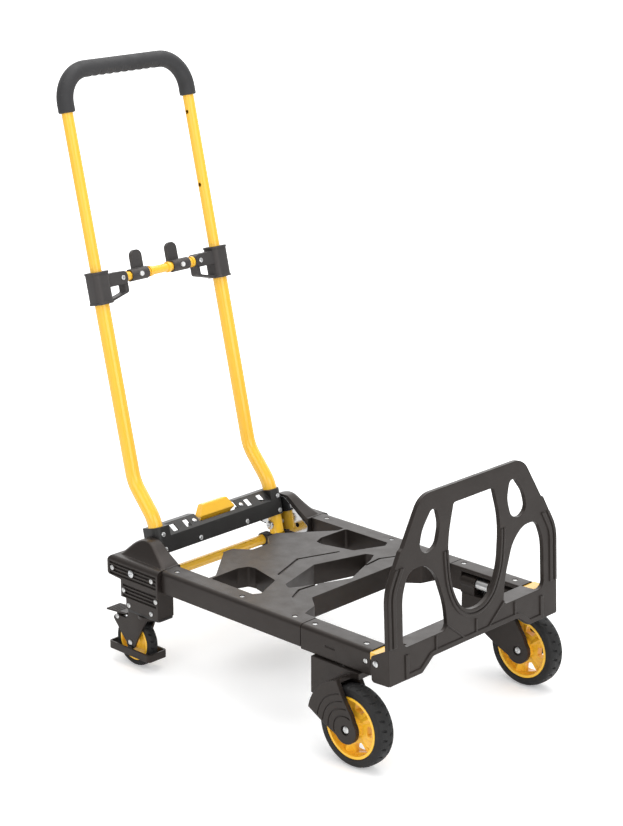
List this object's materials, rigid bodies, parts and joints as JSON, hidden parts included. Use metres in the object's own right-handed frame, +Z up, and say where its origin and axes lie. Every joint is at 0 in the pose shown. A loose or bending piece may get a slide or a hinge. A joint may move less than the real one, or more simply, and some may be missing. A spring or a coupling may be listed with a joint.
{
  "type": "folding hand truck",
  "caption": "Folding hand truck and platform cart with a telescoping handle, moulded deck, folding toe plate, folding front wheels and swivel casters with brakes.",
  "frame": {"origin": "on the floor below the middle of the bounding box, handle upright and toe plate raised", "axes": "+X forward to the toe plate, +Y to the left, +Z up"},
  "size_m": [0.9152, 0.5232, 1.1065],
  "materials": {
    "yellow_steel": "gloss powder coat",
    "black_steel": "satin powder coat",
    "zinc_steel": "bright zinc",
    "black_plastic": "fine texture",
    "yellow_plastic": "gloss",
    "grip_rubber": "matt",
    "tyre_rubber": "matt"
  },
  "bodies": {
    "chassis": {"deck_panel": "black_plastic", "rear_cross_tube": "yellow_steel", "stop_bumpers": "grip_rubber", "deck_screws": "zinc_steel", "bracket_screws": "zinc_steel", "side_rail_left": "zinc_steel", "side_rail_right": "zinc_steel", "front_bracket_left": "black_plastic", "front_bracket_right": "black_plastic", "rear_bracket_left": "black_plastic", "rear_bracket_right": "black_plastic", "lock_quadrant_left": "zinc_steel", "lock_quadrant_right": "zinc_steel", "fork_pivot_pin_left": "zinc_steel", "fork_pivot_pin_right": "zinc_steel", "toe_hinge_block_left": "yellow_steel", "toe_hinge_block_right": "yellow_steel", "caster_plate_left": "zinc_steel", "caster_plate_right": "zinc_steel"},
    "pivot_bolts": {"handle_pivot_bolts": "zinc_steel"},
    "handle_lower": {"lock_beam": "black_steel", "beam_rivets": "zinc_steel", "collar_screws": "zinc_steel", "cross_bar": "yellow_steel", "lower_tube_left": "yellow_steel", "lower_tube_right": "yellow_steel", "collar_left": "black_plastic", "collar_right": "black_plastic"},
    "handle_upper": {"upper_tube": "yellow_steel", "handle_grip": "grip_rubber", "guide_bushes": "black_plastic"},
    "lever": {"fold_lever": "yellow_steel"},
    "toe": {"toe_plate": "black_plastic", "toe_hinge_bolts": "zinc_steel"},
    "tab_left": {"release_tab_left": "black_plastic", "telescope_pin_left": "zinc_steel"},
    "bolt_left": {"lock_bolt_left": "zinc_steel"},
    "fork_left": {"wheel_fork_left": "black_plastic", "front_axle_left": "zinc_steel"},
    "wheel_left": {"front_hub_left": "yellow_plastic", "front_tyre_left": "tyre_rubber"},
    "caster_left": {"caster_fork_left": "black_plastic", "caster_axle_left": "zinc_steel", "caster_guard_left": "black_plastic"},
    "caster_wheel_left": {"caster_hub_left": "yellow_plastic", "caster_tyre_left": "tyre_rubber"},
    "brake_left": {"brake_pedal_left": "black_plastic"},
    "tab_right": {"release_tab_right": "black_plastic", "telescope_pin_right": "zinc_steel"},
    "bolt_right": {"lock_bolt_right": "zinc_steel"},
    "fork_right": {"wheel_fork_right": "black_plastic", "front_axle_right": "zinc_steel"},
    "wheel_right": {"front_hub_right": "yellow_plastic", "front_tyre_right": "tyre_rubber"},
    "caster_right": {"caster_fork_right": "black_plastic", "caster_axle_right": "zinc_steel", "caster_guard_right": "black_plastic"},
    "caster_wheel_right": {"caster_hub_right": "yellow_plastic", "caster_tyre_right": "tyre_rubber"},
    "brake_right": {"brake_pedal_right": "black_plastic"}
  },
  "joints": [
    {"name": "handle_recline", "type": "hinge", "parent": "chassis", "child": "pivot_bolts", "pos_m": [-0.19082, 0, 0.19], "axis": [0, -1, 0], "range_deg": [0, 76.8]},
    {"name": "handle_fold", "type": "hinge", "parent": "pivot_bolts", "child": "handle_lower", "pos_m": [-0.19082, 0, 0.19], "axis": [0, 1, 0], "range_deg": [0, 99]},
    {"name": "telescope", "type": "slide", "parent": "handle_lower", "child": "handle_upper", "axis": [-0.2284, 0, 0.9736], "range_m": [-0.286, 0]},
    {"name": "lever_turn", "type": "hinge", "parent": "handle_lower", "child": "lever", "pos_m": [-0.20385, 0, 0.22803], "axis": [0, 1, 0], "range_deg": [-12, 0], "stiffness_Nm_per_rad": 2},
    {"name": "toe_plate_fold", "type": "hinge", "parent": "chassis", "child": "toe", "pos_m": [0.42218, 0, 0.195], "axis": [0, -1, 0], "range_deg": [0, 87]},
    {"name": "release_tab_slide_left", "type": "slide", "parent": "handle_lower", "child": "tab_left", "axis": [0, -1, 0], "range_m": [-0.008, 0.005], "stiffness_N_per_m": 800},
    {"name": "lock_bolt_slide_left", "type": "slide", "parent": "handle_lower", "child": "bolt_left", "axis": [0, 1, 0], "range_m": [0, 0.0065]},
    {"name": "wheel_fork_fold_left", "type": "hinge", "parent": "chassis", "child": "fork_left", "pos_m": [0.32418, 0.191, 0.185], "axis": [-1, 0, 0], "range_deg": [0, 90]},
    {"name": "front_wheel_spin_left", "type": "hinge", "parent": "fork_left", "child": "wheel_left", "pos_m": [0.38458, 0.2316, 0.073], "axis": [0, 1, 0], "continuous": true},
    {"name": "caster_swivel_left", "type": "hinge", "parent": "chassis", "child": "caster_left", "pos_m": [-0.16382, 0.21, 0.108], "axis": [0, 0, 1], "continuous": true},
    {"name": "caster_wheel_spin_left", "type": "hinge", "parent": "caster_left", "child": "caster_wheel_left", "pos_m": [-0.19982, 0.21, 0.049], "axis": [0, 1, 0], "continuous": true},
    {"name": "brake_press_left", "type": "hinge", "parent": "caster_left", "child": "brake_left", "pos_m": [-0.23582, 0.21, 0.092], "axis": [0, -1, 0], "range_deg": [0, 8]},
    {"name": "release_tab_slide_right", "type": "slide", "parent": "handle_lower", "child": "tab_right", "axis": [0, 1, 0], "range_m": [-0.008, 0.005], "stiffness_N_per_m": 800},
    {"name": "lock_bolt_slide_right", "type": "slide", "parent": "handle_lower", "child": "bolt_right", "axis": [0, -1, 0], "range_m": [0, 0.0065]},
    {"name": "wheel_fork_fold_right", "type": "hinge", "parent": "chassis", "child": "fork_right", "pos_m": [0.32418, -0.191, 0.185], "axis": [1, 0, 0], "range_deg": [0, 90]},
    {"name": "front_wheel_spin_right", "type": "hinge", "parent": "fork_right", "child": "wheel_right", "pos_m": [0.38458, -0.2316, 0.073], "axis": [0, 1, 0], "continuous": true},
    {"name": "caster_swivel_right", "type": "hinge", "parent": "chassis", "child": "caster_right", "pos_m": [-0.16382, -0.21, 0.108], "axis": [0, 0, 1], "continuous": true},
    {"name": "caster_wheel_spin_right", "type": "hinge", "parent": "caster_right", "child": "caster_wheel_right", "pos_m": [-0.19982, -0.21, 0.049], "axis": [0, 1, 0], "continuous": true},
    {"name": "brake_press_right", "type": "hinge", "parent": "caster_right", "child": "brake_right", "pos_m": [-0.23582, -0.21, 0.092], "axis": [0, -1, 0], "range_deg": [0, 8]}
  ],
  "couplings": [
    {"joint": "toe_plate_fold", "follows": "handle_fold", "ratio": 0.87879},
    {"joint": "wheel_fork_fold_left", "follows": "handle_fold", "ratio": 0.90909},
    {"joint": "lock_bolt_slide_left", "follows": "lever_turn", "m_per_rad": -0.031},
    {"joint": "wheel_fork_fold_right", "follows": "handle_fold", "ratio": 0.90909},
    {"joint": "lock_bolt_slide_right", "follows": "lever_turn", "m_per_rad": -0.031}
  ]
}
